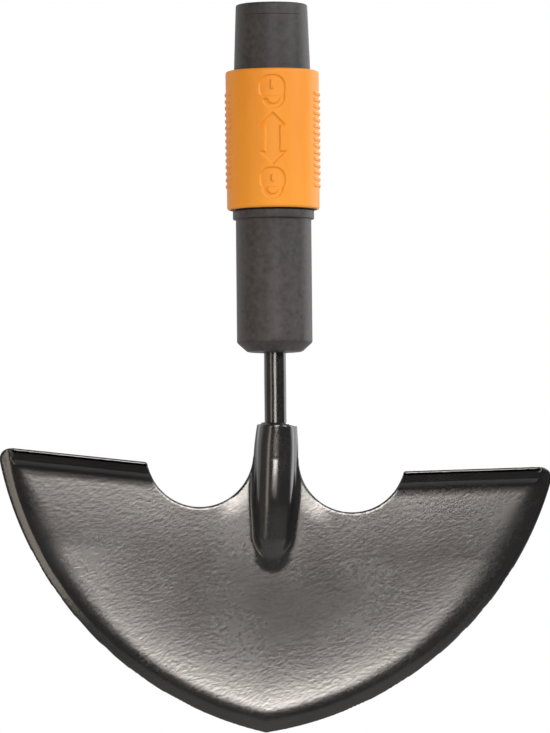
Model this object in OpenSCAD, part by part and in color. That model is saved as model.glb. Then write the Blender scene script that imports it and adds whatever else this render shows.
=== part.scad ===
// Half moon edger head: a pressed steel blade with foot treads, welded to a steel rod,
// with a moulded quick coupling that locks on the end of a long handle.
// Millimetres, +Z up the shank, front towards -Y.
// The origin is on the shank's axis, in the mouth of the handle socket.

/* [Handle socket] */
// Radius of the bore that guides the handle's spigot
socket_r = 11.5; // [10:0.1:12]
// Depth of the guide bore
socket_depth = 52; // [40:1:56]
// Radius of the lock bore below the guide bore
lock_bore_r = 10.2; // [9.5:0.1:10.6]
// Depth of the lock bore
lock_bore_depth = 34; // [28:1:38]
// Width of a keyway that stops the handle from turning
key_w = 5; // [3:0.5:7]
// Depth of a keyway
key_depth = 1.6; // [0.8:0.1:1.8]

/* [Coupling body] */
// Outer radius of the body at its rim
rim_r = 14.7; // [14.2:0.1:15.4]
// Outer radius of the barrel that the sleeve slides on
barrel_r = 15.7; // [15.2:0.1:16]
// Length of the tapered nose above the sleeve
nose_len = 27.5; // [20:0.5:36]
// Rounding of the rim and of the collar
edge_round = 0.8; // [0.3:0.1:1.2]
// Height of the raised lip at the front of the rim
lip_h = 4.8; // [3:0.1:8]
// How far the lip stands out of the nose
lip_proud = 0.4; // [0.2:0.1:0.8]
// Angle that the lip goes round the front
lip_angle = 98; // [60:1:140]
// Radius of the collar below the sleeve
collar_r = 16.7; // [16:0.1:17.2]
// Height of the collar
collar_h = 3.6; // [2:0.1:6]
// Gap between the locked sleeve and the collar
collar_gap = 0.4; // [0.3:0.1:1]
// Radius of the body below the collar
grip_r = 15.5; // [14:0.1:16]
// Straight length of the body below the collar
grip_len = 50.5; // [40:0.5:60]
// Height of the chamfer at the body's lower end
chamfer_h = 3.8; // [2:0.1:6]
// Radius of the flat under that chamfer
chamfer_r = 11.3; // [8:0.1:13]

/* [Locking sleeve] */
// Length of the sleeve
sleeve_len = 57; // [50:0.5:64]
// Thickness of the sleeve's wall round the spring
sleeve_wall = 1.4; // [1.2:0.1:3]
// How much narrower in radius the sleeve is at its lower end
sleeve_taper = 0.2; // [0:0.1:0.3]
// Rounding of the sleeve's outer edges
sleeve_round = 1; // [0.3:0.1:1.1]
// Number of grip ribs on each side
rib_count = 15; // [6:1:17]
// Distance from rib to rib
rib_pitch = 2.69; // [2:0.01:3]
// Width of a rib where it leaves the sleeve
rib_w = 2; // [1:0.1:2]
// Width of a rib's crest
rib_crest_w = 0.7; // [0.3:0.1:0.9]
// How far a rib stands out of the sleeve
rib_proud = 0.45; // [0.2:0.05:0.8]
// Angle that a rib goes round the side
rib_angle = 58; // [30:1:80]
// Height of the lowest rib above the sleeve's lower end
rib_rise = 9.6; // [6:0.1:12]
// Thickness of the cap ring that closes the sleeve's upper end
cap_t = 2.5; // [1.5:0.1:4]

/* [Ball lock] */
// Radius of a locking ball
ball_r = 3.5; // [3.3:0.1:3.6]
// Height of the balls above the locked sleeve's lower end
ball_rise = 14.5; // [13:0.5:18]
// How far the sleeve slides up to unlock
lock_travel = 10; // [8:0.5:11]
// How far the balls move out when the sleeve is up
ball_travel = 1.5; // [1:0.1:1.5]

/* [Return spring] */
// Diameter of the spring's wire
wire_d = 1.3; // [0.8:0.1:1.4]
// Turns of the spring between its closed ends
spring_turns = 5; // [3:1:6]
// Length of the spring with the sleeve locked
spring_len = 21.4; // [20:0.1:24]
// Thickness of the washer that the spring pushes on
washer_t = 0.8; // [0.5:0.1:1.5]
// Thickness of the retaining ring above the washer
ring_t = 1.5; // [1:0.1:2.5]
// Depth of the retaining ring's groove in the barrel
ring_groove = 0.8; // [0.5:0.1:1.1]
// Angle of the gap in the retaining ring
ring_gap_angle = 24; // [10:1:60]

/* [Shank rod] */
// Diameter of the rod
rod_d = 9; // [8:0.1:10]
// Length of rod that shows between the body and the blade
rod_free = 29.8; // [20:0.1:45]
// Length of rod inside the blade's channel
rod_in_blade = 32; // [26:1:36]
// Thickness of the floor between the lock bore and the rod's end
floor_t = 7; // [4:0.5:12]
// Length of the two flats on the rod's moulded-in end
flat_len = 12; // [8:1:18]
// Depth of each flat
flat_depth = 0.9; // [0.5:0.1:1.5]
// Width of the groove below the flats
anchor_w = 4; // [2:0.5:6]
// Depth of that groove
anchor_depth = 0.8; // [0.5:0.1:1.5]

/* [Blade] */
// Thickness of the steel sheet
sheet_t = 2.5; // [2:0.1:3]
// Length from the channel's mouth down to the blade's point
blade_len = 126.3; // [115:0.1:140]
// Radius of each curved cutting edge
edge_r = 144.6; // [138:0.1:155]
// Distance that each edge's centre lies past the middle of the blade
edge_offset = 27.1; // [22:0.1:32]
// Angle that the blade is set round from square with the shank, as in the photographed one
blade_set = 2.6; // [-3:0.1:3]
// Depth below the channel's mouth of the point about which the blade is set round
set_drop = 13; // [10:0.5:16]
// Width of the ground bevel
bevel_w = 3.3; // [2:0.1:6]
// Thickness left at the cutting edge
edge_t = 0.9; // [0.4:0.1:1.5]
// Radius of the blade's upper outer corners
corner_r = 6.3; // [4:0.1:9]
// Radius of each notch beside the neck
notch_r = 21.8; // [19:0.1:23]
// Distance of a notch's centre from the middle of the blade
notch_u = 31.2; // [30:0.1:33]
// Depth of a notch's centre below the channel's mouth
notch_drop = 13; // [11:0.1:15]

/* [Treads] */
// Depth of the treads' top line below the channel's mouth, at the middle
tread_drop = 20.9; // [19:0.1:23]
// Rise of the treads towards the blade's corners
tread_angle = 3.92; // [0:0.02:6]
// Angle that the sheet is bent forward
tread_bend = 78; // [60:1:90]
// Inside radius of the bend
bend_r = 2.5; // [1.5:0.1:4]
// Width of the flat part of a tread
tread_flat = 9; // [6:0.5:14]

/* [Channel] */
// Half width of the neck at the channel's mouth
neck_half = 8.2; // [8.1:0.1:9]
// Side play between the rod and the channel
channel_gap = 0.95; // [0.5:0.05:1.1]
// Flare of the channel's flanks where they meet the sheet
flare = 2; // [1:0.1:2.2]
// Length of the sloping nose below the straight channel
nose_slope_len = 24; // [18:1:32]

/* [Welds] */
// Radius of the bead round the rod in the mouth
mouth_weld_r = 7.2; // [6.4:0.1:7.6]
// Height of that bead
mouth_weld_h = 1.8; // [1:0.1:3]
// Radius of the two beads along the rod at the back
seam_weld_r = 2; // [1.4:0.1:2.2]
// Length of the two beads along the rod at the back
seam_weld_len = 25; // [15:1:28]

/* [Hidden] */
$fn = 96;
edge_facets = 360;
arc_steps = 8;

// Clearances, and one overrun for all cuts
overrun = 1;
slide_gap = 0.35;
cam_gap = 0.25;
cam_step = 0.15;
ball_gap = 0.15;
ball_lip_step = 1.4;
ball_lip_len = 2.4;
ball_seat_drop = 1.05;
spring_gap = 0.4;
stop_gap = 0.3;
seat_gap = 0.05;
weld_gap = 0.1;
rib_seat = 0.4;
lip_seat = 1;
bottom_dome = 0.5;
seam_weld_drop = 4;
seam_weld_sink = 0.4;
neck_root = 6;
neck_ledge = 0.2;
channel_seat = 0.7;
rod_end_gap = 1;
bend_overlap = 4;
channel_embed = 0.8;

// Radii that follow the barrel
chamber_r = barrel_r + 2 * spring_gap + wire_d;
sleeve_top_r = chamber_r + sleeve_wall;
sleeve_low_r = sleeve_top_r - sleeve_taper;

// Heights along the shank
sleeve_top_z = -nose_len;
sleeve_low_z = sleeve_top_z - sleeve_len;
collar_top_z = sleeve_low_z - collar_gap;
grip_top_z = collar_top_z - collar_h;
chamfer_z = grip_top_z - grip_len;
body_low_z = chamfer_z - chamfer_h;
mouth_z = body_low_z - rod_free;
floor_z = -socket_depth - lock_bore_depth;
rod_top_z = floor_z - floor_t;
anchor_top_z = rod_top_z - flat_len;
anchor_low_z = anchor_top_z - anchor_w;
rod_low_z = mouth_z - rod_in_blade + rod_end_gap;

// Lock: the sleeve's cone opens downwards, so the balls are let out as the sleeve goes up
land_r = barrel_r + slide_gap;
cam_ratio = ball_travel / lock_travel;
cam_r = land_r + cam_step;
ball_rest_r = cam_r - cam_gap - ball_r;
ball_z = sleeve_low_z + ball_rise;
ball_hole_r = ball_r + ball_gap;
ball_angles = [90, 210, 330];
cone_top_z = ball_z + cam_step / cam_ratio;
relief_r = cam_r + ball_travel + ball_gap / 2;
relief_z = ball_z - (relief_r - cam_r) / cam_ratio;

// Spring chamber inside the sleeve
cap_low_z = sleeve_top_z - cap_t;
ring_top_z = cap_low_z - stop_gap;
washer_top_z = ring_top_z - ring_t;
spring_top_z = washer_top_z - washer_t;
shoulder_z = spring_top_z - spring_len;
ring_out_r = chamber_r - spring_gap;
ring_in_r = barrel_r - ring_groove + seat_gap;

// Spring wire: one closed turn at each end and open turns between
spring_r = barrel_r + spring_gap + wire_d / 2;
closed_turns = 2;
closed_gap = 0.5;
closed_pitch = wire_d + closed_gap;
spring_steps = 24;
spring_sides = 6;
open_pitch = (spring_len - wire_d - closed_turns * closed_pitch) / spring_turns;

// Sheet and channel, in the blade's own frame: origin in the channel's mouth, point downwards
rod_r = rod_d / 2;
sheet_back_y = rod_r;
sheet_front_y = sheet_back_y - sheet_t;
channel_in_r = rod_r + channel_gap;
channel_r = channel_in_r + sheet_t;
channel_y = channel_in_r - rod_r - channel_seat;
channel_leg = sheet_front_y - channel_y;
bulge_h = channel_leg + channel_r;
leg_share = channel_leg / bulge_h;
flank_angle = 15;
nose_fall_share = 0.72;
nose_narrow_share = 0.3;
nose_blunt = 8;
nose_end_share = 0.995;
hollow_end_share = 0.9;
hollow_least_share = 0.25;
flare_start = 22;
straight_rings = 4;
nose_rings = 24;
channel_arc = 20;

// Cutting edge, corner and tread lines
edge_centre_z = -blade_len + sqrt(edge_r ^ 2 - edge_offset ^ 2);
bevel_slope = (sheet_t - edge_t) / bevel_w;
tread_h = (bend_r + sheet_t) * sin(tread_bend) + tread_flat * cos(tread_bend);
tread_slope = tan(tread_angle);
corner_line = -tread_drop - corner_r / cos(tread_angle);
corner_a = 1 + tread_slope ^ 2;
corner_b = edge_offset + tread_slope * (corner_line - edge_centre_z);
corner_c = edge_offset ^ 2 + (corner_line - edge_centre_z) ^ 2 - (edge_r - corner_r) ^ 2;
corner_u = (-corner_b + sqrt(corner_b ^ 2 - corner_a * corner_c)) / corner_a;
corner_z = corner_line + tread_slope * corner_u;
corner_dir = [corner_u + edge_offset, corner_z - edge_centre_z] / (edge_r - corner_r);
blade_reach = 2 * edge_r;

// Points of an arc about a centre
function arc(centre, r, from, to) = [
    for (i = [0:arc_steps])
        let (a = from + (to - from) * i / arc_steps)
        centre + r * [cos(a), sin(a)]
];

// Two triangles between neighbouring points j and k of the rings that start at points a and b
function skin_pair(a, b, j, k) = [[a + j, b + j, b + k], [a + j, b + k, a + k]];

// Closed skin over a row of sections
module loft(rings) {
    count = len(rings);
    sides = len(rings[0]);
    polyhedron(
        points = [for (ring = rings) each ring],
        faces = concat(
            [[for (j = [0:sides - 1]) j]],
            [for (i = [0:count - 2], j = [0:sides - 1])
                each skin_pair(i * sides, (i + 1) * sides, j, (j + 1) % sides)],
            [[for (j = [sides - 1:-1:0]) (count - 1) * sides + j]]
        )
    );
}

// Places a blade piece on the rod
module on_blade() {
    translate([0, 0, mouth_z - set_drop])
        rotate([0, blade_set, 0])
        translate([0, 0, set_drop])
        children();
}

// Extrudes a front view from one depth to another
module front_view(from_y, to_y) {
    rotate([90, 0, 0])
        translate([0, 0, -to_y])
        linear_extrude(to_y - from_y)
        children();
}

// Front outline of the flat sheet: two arcs that meet in a point, closed by the tread lines
module lens() {
    intersection_for (side = [-1, 1])
        translate([side * edge_offset, edge_centre_z]) circle(edge_r, $fn = edge_facets);
}

module below_line(drop) {
    for (side = [-1, 1])
        polygon([
            [0, -drop],
            [side * blade_reach, -drop + blade_reach * tread_slope],
            [side * blade_reach, -blade_reach],
            [0, -blade_reach]
        ]);
}

module corner_cut(side) {
    centre = [corner_u, corner_z];
    line_point = centre + corner_r * [-sin(tread_angle), cos(tread_angle)];
    edge_point = centre + corner_r * corner_dir;
    outside = line_point + edge_point - centre + corner_r * [1, 1];
    mirror([side < 0 ? 1 : 0, 0]) polygon([
        centre, line_point, [line_point[0], outside[1]],
        outside, [outside[0], edge_point[1]], edge_point
    ]);
}

module notches() {
    for (side = [-1, 1])
        translate([side * notch_u, -notch_drop]) circle(notch_r);
}

module rounded_lens() {
    difference() {
        intersection() {
            lens();
            below_line(tread_drop);
        }
        for (side = [-1, 1]) corner_cut(side);
    }
    for (side = [-1, 1])
        translate([side * corner_u, corner_z]) circle(corner_r);
}

module neck_front() {
    low = -notch_drop - notch_r - neck_root;
    waist = notch_u - notch_r;
    polygon([
        [-notch_u, low], [notch_u, low], [notch_u, -notch_drop], [waist, -notch_drop], [neck_half, 0],
        [-neck_half, 0], [-waist, -notch_drop], [-notch_u, -notch_drop]
    ]);
}

// Front outline of the finished blade
module blade_front() {
    difference() {
        union() {
            rounded_lens();
            neck_front();
        }
        notches();
    }
}

// Ring with a sloping face that grinds the bevel off one arc
module bevel_cut(side) {
    translate([side * edge_offset, sheet_front_y, edge_centre_z]) rotate([-90, 0, 0])
        rotate_extrude($fn = edge_facets) polygon([
            [edge_r - bevel_w - overrun, -overrun * bevel_slope],
            [edge_r + overrun, (bevel_w + overrun) * bevel_slope],
            [edge_r + overrun, -overrun * bevel_slope]
        ]);
}

// Section of a tread, as depth and height: the sheet goes up, bends forward and ends in a flat
function tread_section() = let (
    centre = [sheet_front_y - bend_r, -tread_h],
    flat_run = tread_flat * [-sin(tread_bend), cos(tread_bend)],
    inner = arc(centre, bend_r, 0, tread_bend),
    outer = arc(centre, bend_r + sheet_t, tread_bend, 0)
) concat(
    [[sheet_back_y, -tread_h - bend_overlap], [sheet_front_y, -tread_h - bend_overlap]],
    inner,
    [inner[arc_steps] + flat_run, outer[0] + flat_run],
    outer
);

// That section at a distance along the tread's rising line
function tread_ring(side, distance) = [
    for (p = tread_section()) [
        side * (distance * cos(tread_angle) - p[1] * sin(tread_angle)),
        p[0],
        distance * sin(tread_angle) + p[1] * cos(tread_angle) - tread_drop
    ]
];

module tread(side) {
    inner = tread_ring(side, notch_u);
    outer = tread_ring(side, edge_r);
    loft(side > 0 ? [outer, inner] : [inner, outer]);
}

// Sheet with its two bends, before the outline is cut
module bent_sheet() {
    front_view(sheet_front_y, sheet_back_y) {
        below_line(tread_drop + (tread_h + bend_overlap / 2) / cos(tread_angle));
        neck_front();
    }
    for (side = [-1, 1]) tread(side);
}

// Channel sizes at a station, from 0 at the mouth to 1 at the end of the sloping nose
function nose_share(z) = max(0, (-z - rod_in_blade) / nose_slope_len);
function blunt(s) = sqrt(1 - s ^ nose_blunt);
function ridge_h(z) = bulge_h * (1 - nose_fall_share * nose_share(z)) * blunt(nose_share(z));
function half_w(z) = channel_r * (1 - nose_narrow_share * nose_share(z)) * blunt(nose_share(z));
function flare_at(z) = neck_half - neck_ledge - channel_r + (flare - neck_half + neck_ledge + channel_r)
    * min(1, -z / flare_start) * (1 - nose_narrow_share * nose_share(z));

// Point of an arch of half width r and height h, whose centre stands leg above the sheet's front
function arch_point(r, h, leg, a, z) = [r * cos(a), sheet_front_y - leg - (h - leg) * sin(a), z];

// One section of the channel's outside, as points at height z: an arch on two flaring flanks
function outside_ring(z) = let (
    r = half_w(z),
    h = ridge_h(z),
    leg = h * leg_share,
    foot_x = r + flare_at(z)
) [
    [foot_x, sheet_front_y + channel_embed, z],
    for (i = [0:channel_arc])
        arch_point(r, h, leg, flank_angle + (180 - 2 * flank_angle) * i / channel_arc, z),
    [-foot_x, sheet_front_y + channel_embed, z]
];

// One section of the hollow behind it, which is open at the back
function inside_ring(z) = let (
    r = max(half_w(z) - sheet_t, hollow_least_share * sheet_t),
    h = ridge_h(z) - sheet_t,
    leg = min(channel_leg, h - r)
) [
    [r, sheet_back_y + overrun, z],
    for (i = [0:channel_arc]) arch_point(r, h, leg, 180 * i / channel_arc, z),
    [-r, sheet_back_y + overrun, z]
];

// Stations: the straight channel, then the nose, closer together towards its blunt end
function stations(start, end_share) = concat(
    [for (i = [0:straight_rings]) start + (-rod_in_blade - start) * i / straight_rings],
    [for (i = [1:nose_rings]) -rod_in_blade - nose_slope_len * end_share * sin(90 * i / nose_rings)]
);

module edger_blade() {
    color([0.16, 0.16, 0.16]) on_blade() difference() {
        union() {
            difference() {
                intersection() {
                    bent_sheet();
                    front_view(-blade_reach, blade_reach) blade_front();
                }
                for (side = [-1, 1]) bevel_cut(side);
            }
            loft([for (z = stations(0, nose_end_share)) outside_ring(z)]);
        }
        loft([for (z = stations(overrun, hollow_end_share)) inside_ring(z)]);
    }
}

// Upper end of the rod as it is moulded in, with flats and a groove; gap widens it into its cavity
module rod_anchor(gap) {
    translate([0, 0, anchor_low_z - overrun])
        cylinder(r = rod_r - anchor_depth + gap, h = anchor_w + 2 * overrun);
    intersection() {
        translate([0, 0, anchor_top_z])
            cylinder(r = rod_r + gap, h = flat_len + gap);
        translate([-rod_r + flat_depth - gap, -rod_d, anchor_top_z])
            cube([2 * (rod_r - flat_depth + gap), 2 * rod_d, flat_len + gap]);
    }
}

module shank_rod() {
    color([0.1, 0.1, 0.1]) {
        rod_anchor(0);
        translate([0, 0, rod_low_z])
            cylinder(r = rod_r, h = anchor_low_z - rod_low_z);
    }
}

module mouth_weld() {
    inner = rod_r + weld_gap;
    width = mouth_weld_r - inner;
    color([0.13, 0.13, 0.13]) difference() {
        translate([0, 0, mouth_z]) rotate_extrude() polygon(concat(
            [[inner, -overrun], [mouth_weld_r, -overrun]],
            [for (i = [0:arc_steps]) let (a = 90 * i / arc_steps)
                [inner + width * cos(a), mouth_weld_h * sin(a)]]
        ));
        on_blade()
            translate([-blade_len, -blade_len, -blade_len])
            cube([2 * blade_len, 2 * blade_len, blade_len]);
    }
}

// Bead that fills the gap between the rod and one wall of the channel, at the back
module seam_weld(side) {
    wall_x = side * (channel_in_r - seat_gap);
    color([0.13, 0.13, 0.13]) difference() {
        on_blade() translate([0, 0, -seam_weld_drop - seam_weld_len]) difference() {
            translate([side * channel_in_r, sheet_back_y - seam_weld_sink, 0])
                cylinder(r = seam_weld_r, h = seam_weld_len);
            translate([side > 0 ? wall_x : wall_x - channel_r, -channel_r, -overrun])
                cube([channel_r, channel_r + sheet_back_y + seat_gap, seam_weld_len + 2 * overrun]);
        }
        translate([0, 0, mouth_z - blade_len])
            cylinder(r = rod_r + seat_gap, h = blade_len);
    }
}

module seam_weld_left() seam_weld(-1);
module seam_weld_right() seam_weld(1);

module body_outside() {
    rotate_extrude() polygon(concat(
        [[0, 0]],
        arc([rim_r - edge_round, -edge_round], edge_round, 90, 0),
        [[barrel_r, sleeve_top_z], [barrel_r, collar_top_z]],
        arc([collar_r - edge_round, collar_top_z - edge_round], edge_round, 90, 0),
        arc([collar_r - edge_round, grip_top_z + edge_round], edge_round, 0, -90),
        [
            [grip_r, grip_top_z], [grip_r, chamfer_z], [chamfer_r, body_low_z],
            [rod_r, body_low_z - bottom_dome], [0, body_low_z - bottom_dome]
        ]
    ));
    rim_lip();
}

// Raised lip round the front of the rim
module rim_lip() {
    lip_r = rim_r + lip_proud;
    nose_widening = (barrel_r - rim_r) * lip_h / nose_len;
    rotate([0, 0, -90 - lip_angle / 2])
        rotate_extrude(angle = lip_angle)
        polygon([
            [rim_r - lip_seat, -lip_h], [lip_r + nose_widening, -lip_h],
            [lip_r, -edge_round], [lip_r - edge_round, 0], [rim_r - lip_seat, 0]
        ]);
}

// Radial hole for a ball, with a conical lip that keeps the ball from falling into the bore
module ball_hole() {
    seat_r = ball_rest_r - ball_seat_drop;
    translate([0, 0, ball_z]) rotate([0, 90, 0]) {
        translate([0, 0, seat_r])
            cylinder(r = ball_hole_r, h = barrel_r - seat_r + overrun);
        translate([0, 0, seat_r - ball_lip_len])
            cylinder(r1 = ball_hole_r - ball_lip_step, r2 = ball_hole_r, h = ball_lip_len);
        cylinder(r = ball_hole_r - ball_lip_step, h = seat_r);
    }
}

module coupling_body() {
    color([0.27, 0.26, 0.26]) difference() {
        body_outside();
        translate([0, 0, -socket_depth])
            cylinder(r = socket_r, h = socket_depth + overrun);
        translate([0, 0, floor_z])
            cylinder(r = lock_bore_r, h = lock_bore_depth + overrun);
        for (side = [0, 180])
            rotate([0, 0, side])
            translate([0, -key_w / 2, -socket_depth])
            cube([socket_r + key_depth, key_w, socket_depth + overrun]);
        for (a = ball_angles)
            rotate([0, 0, a]) ball_hole();
        ring_groove_cut();
        rod_anchor(seat_gap);
        translate([0, 0, body_low_z - 2 * overrun])
            cylinder(r = rod_r + seat_gap, h = anchor_low_z - body_low_z + 2 * overrun);
    }
}

// Groove round the barrel for the retaining ring
module ring_groove_cut() {
    translate([0, 0, washer_top_z - seat_gap]) difference() {
        cylinder(r = barrel_r + overrun, h = ring_t + 2 * seat_gap);
        translate([0, 0, -overrun])
            cylinder(r = barrel_r - ring_groove, h = ring_t + 2 * overrun);
    }
}

// Row of grip ribs on one side of the sleeve, on a common backing inside its wall
module sleeve_ribs(turn) {
    base_r = sleeve_low_r - rib_seat;
    crest_r = sleeve_top_r + rib_proud;
    first_z = sleeve_low_z + rib_rise;
    last_z = first_z + (rib_count - 1) * rib_pitch;
    rotate([0, 0, turn - rib_angle / 2]) rotate_extrude(angle = rib_angle) polygon(concat(
        [[base_r - rib_seat, first_z - rib_pitch / 2]],
        [for (i = [0:rib_count - 1]) let (z = first_z + i * rib_pitch) each [
            [base_r, z - rib_w / 2], [crest_r, z - rib_crest_w / 2],
            [crest_r, z + rib_crest_w / 2], [base_r, z + rib_w / 2]
        ]],
        [[base_r - rib_seat, last_z + rib_pitch / 2]]
    ));
}

module locking_sleeve() {
    color([0.95, 0.56, 0.13]) {
        rotate_extrude() polygon(concat(
            [
                [chamber_r, sleeve_top_z], [chamber_r, shoulder_z], [land_r, shoulder_z],
                [land_r, cone_top_z], [relief_r, relief_z], [relief_r, sleeve_low_z]
            ],
            arc([sleeve_low_r - sleeve_round, sleeve_low_z + sleeve_round], sleeve_round, -90, 0),
            arc([sleeve_top_r - sleeve_round, sleeve_top_z - sleeve_round], sleeve_round, 0, 90)
        ));
        for (turn = [0, 180]) sleeve_ribs(turn);
    }
}

module sleeve_cap() {
    color([0.93, 0.54, 0.12]) translate([0, 0, cap_low_z]) difference() {
        cylinder(r = chamber_r - seat_gap, h = cap_t);
        translate([0, 0, -overrun]) cylinder(r = land_r, h = cap_t + 2 * overrun);
    }
}

module retaining_ring() {
    color([0.6, 0.6, 0.62]) rotate([0, 0, 90 + ring_gap_angle / 2])
        rotate_extrude(angle = 360 - ring_gap_angle)
            translate([ring_in_r, washer_top_z]) square([ring_out_r - ring_in_r, ring_t]);
}

module spring_washer() {
    color([0.66, 0.66, 0.68]) translate([0, 0, spring_top_z]) difference() {
        cylinder(r = ring_out_r, h = washer_t);
        translate([0, 0, -overrun]) cylinder(r = barrel_r + stop_gap, h = washer_t + 2 * overrun);
    }
}

// Height of the wire's middle after a number of turns
function wire_z(turn) = shoulder_z + wire_d / 2 + closed_pitch * min(turn, 1)
    + open_pitch * min(max(turn - 1, 0), spring_turns) + closed_pitch * max(turn - 1 - spring_turns, 0);
wire_count = (spring_turns + closed_turns) * spring_steps;
function wire_point(i) = let (a = 360 * i / spring_steps)
    [spring_r * cos(a), spring_r * sin(a), wire_z(i / spring_steps)];
function wire_ring(i) = let (a = 360 * i / spring_steps)
    [for (j = [0:spring_sides - 1]) let (b = -360 * j / spring_sides)
        wire_point(i) + wire_d / 2 * [cos(a) * cos(b), sin(a) * cos(b), sin(b)]];
spring_least_gap = -wire_d + min([
    for (i = [0:wire_count - spring_steps]) norm(wire_point(i + spring_steps) - wire_point(i))
]);
echo(spring_least_gap = spring_least_gap);

module return_spring() {
    color([0.7, 0.7, 0.72]) loft([for (i = [0:wire_count]) wire_ring(i)]);
}

module lock_ball(angle) {
    color([0.75, 0.75, 0.77]) rotate([0, 0, angle]) translate([ball_rest_r, 0, ball_z]) sphere(ball_r);
}

module lock_ball_1() lock_ball(ball_angles[0]);
module lock_ball_2() lock_ball(ball_angles[1]);
module lock_ball_3() lock_ball(ball_angles[2]);

edger_blade();
shank_rod();
mouth_weld();
seam_weld_left();
seam_weld_right();
coupling_body();
locking_sleeve();
sleeve_cap();
retaining_ring();
spring_washer();
return_spring();
lock_ball_1();
lock_ball_2();
lock_ball_3();
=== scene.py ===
# %% [markdown]
# # A half moon edger head, piece by piece
# This lesson dresses a finished construction model. The construction file fixes where every
# piece sits and how it moves; here each piece gets the skin and finish that a buyer would see.
# Every shape is measured in millimetres, as on a drawing, and turned into metres when it is made.

# %% Load the frame
import bpy
import math
import numpy as np
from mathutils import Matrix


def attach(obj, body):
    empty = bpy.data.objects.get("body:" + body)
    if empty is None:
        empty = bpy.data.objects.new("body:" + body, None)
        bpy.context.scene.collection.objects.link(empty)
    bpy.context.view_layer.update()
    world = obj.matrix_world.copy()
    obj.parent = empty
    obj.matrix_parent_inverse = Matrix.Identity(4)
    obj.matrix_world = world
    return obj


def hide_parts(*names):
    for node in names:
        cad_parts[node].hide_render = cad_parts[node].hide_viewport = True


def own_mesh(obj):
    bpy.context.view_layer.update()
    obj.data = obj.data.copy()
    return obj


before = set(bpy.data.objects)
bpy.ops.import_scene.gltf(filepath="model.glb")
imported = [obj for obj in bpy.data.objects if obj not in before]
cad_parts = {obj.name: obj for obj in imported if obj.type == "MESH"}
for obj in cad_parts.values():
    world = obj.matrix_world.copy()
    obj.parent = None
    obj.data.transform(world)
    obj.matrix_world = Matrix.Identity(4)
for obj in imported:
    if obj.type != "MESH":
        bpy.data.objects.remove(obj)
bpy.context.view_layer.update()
print("frame", sorted(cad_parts))

# %% [markdown]
# A skin is a list of points and a list of faces. One helper makes the mesh, gives it its
# material, says which moving body carries it and hides the construction node it stands for.

# %% Make a piece from points and faces
MM = 0.001


def piece(name, points, faces, material, body, node, sharp=40.0):
    """A smooth skin drawn in millimetres; edges bent by more than sharp degrees stay crisp."""
    name = name + "_skin"
    mesh = bpy.data.meshes.new(name)
    corners = (np.asarray(points, float) * MM).tolist()
    mesh.from_pydata(corners, [], [list(map(int, f)) for f in faces])
    mesh.validate()
    mesh.shade_smooth()
    mesh.set_sharp_from_angle(angle=math.radians(sharp))
    mesh.materials.append(material)
    made = bpy.data.objects.new(name, mesh)
    bpy.context.scene.collection.objects.link(made)
    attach(made, body)
    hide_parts(node)
    print(name, len(mesh.vertices), "points", len(mesh.polygons), "faces")
    return made


def grid_faces(rows, columns):
    """Faces between rows of points, where each row closes on itself."""
    i, j = np.meshgrid(np.arange(rows - 1), np.arange(columns), indexing="ij")
    k = (j + 1) % columns
    here, after = i * columns, (i + 1) * columns
    return np.stack([here + j, here + k, after + k, after + j], -1).reshape(-1, 4).tolist()


def loop_faces(rows, columns):
    """The same, with the last row joined to the first, as on a ring."""
    last = (rows - 1) * columns
    return grid_faces(rows, columns) + [
        [last + j, last + (j + 1) % columns, (j + 1) % columns, j] for j in range(columns)]


def closed_faces(rows, columns):
    """The same as grid_faces with a small disc at either end, and turned over."""
    faces = grid_faces(rows, columns)
    faces.append(list(range(columns))[::-1])
    faces.append(list(range((rows - 1) * columns, rows * columns)))
    return [f[::-1] for f in faces]


# %% [markdown]
# Turned and moulded round pieces are drawn as half a section, then spun. Real edges are never
# knife sharp, so each corner of the section carries a small radius. A section stops a hair
# short of the axis, and a tiny disc closes the gap.

# %% Draw a section with rounded corners
CORNER_SHARE = 0.45
AXIS_R = 0.02


def section(corners, steps=4):
    """Corners are (radius, height, rounding); a rounding takes less than half of a side."""
    line = []
    for i, (r, z, rounding) in enumerate(corners):
        here = np.array([r, z], float)
        if rounding == 0 or i in (0, len(corners) - 1):
            line.append(here)
            continue
        before = np.array(corners[i - 1][:2], float) - here
        after = np.array(corners[i + 1][:2], float) - here
        reach = min(rounding, CORNER_SHARE * np.hypot(*before), CORNER_SHARE * np.hypot(*after))
        a = here + before / np.hypot(*before) * reach
        b = here + after / np.hypot(*after) * reach
        for t in np.linspace(0, 1, steps + 1):
            line.append((1 - t) ** 2 * a + 2 * t * (1 - t) * here + t ** 2 * b)
    return np.array(line)


def divide(line, longest):
    """Adds points so that no stretch is longer than this."""
    out = [line[0]]
    for a, b in zip(line[:-1], line[1:]):
        count = max(1, int(math.ceil(np.hypot(*(b - a)) / longest)))
        out += [a + (b - a) * t for t in np.linspace(0, 1, count + 1)[1:]]
    return np.array(out)


def spin(line, angles):
    """Points of a section spun about the shank, row after row."""
    a = np.asarray(angles)[None, :]
    r, z = line[:, :1], line[:, 1:]
    return np.stack([r * np.cos(a), r * np.sin(a), z + 0 * a], -1)


def around(count):
    """Angles that share out a full turn."""
    return np.linspace(0, 2 * np.pi, count, endpoint=False)


corner = section([(0, 0, 0), (10, 0, 2), (10, 10, 0)])
print("a square corner rounded by 2 mm has", len(corner), "points")

# %% [markdown]
# Finishes are mixed from noise patterns, and that takes sums. This small class wraps a socket
# of the shader, so that a sum of patterns reads like ordinary arithmetic.

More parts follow.
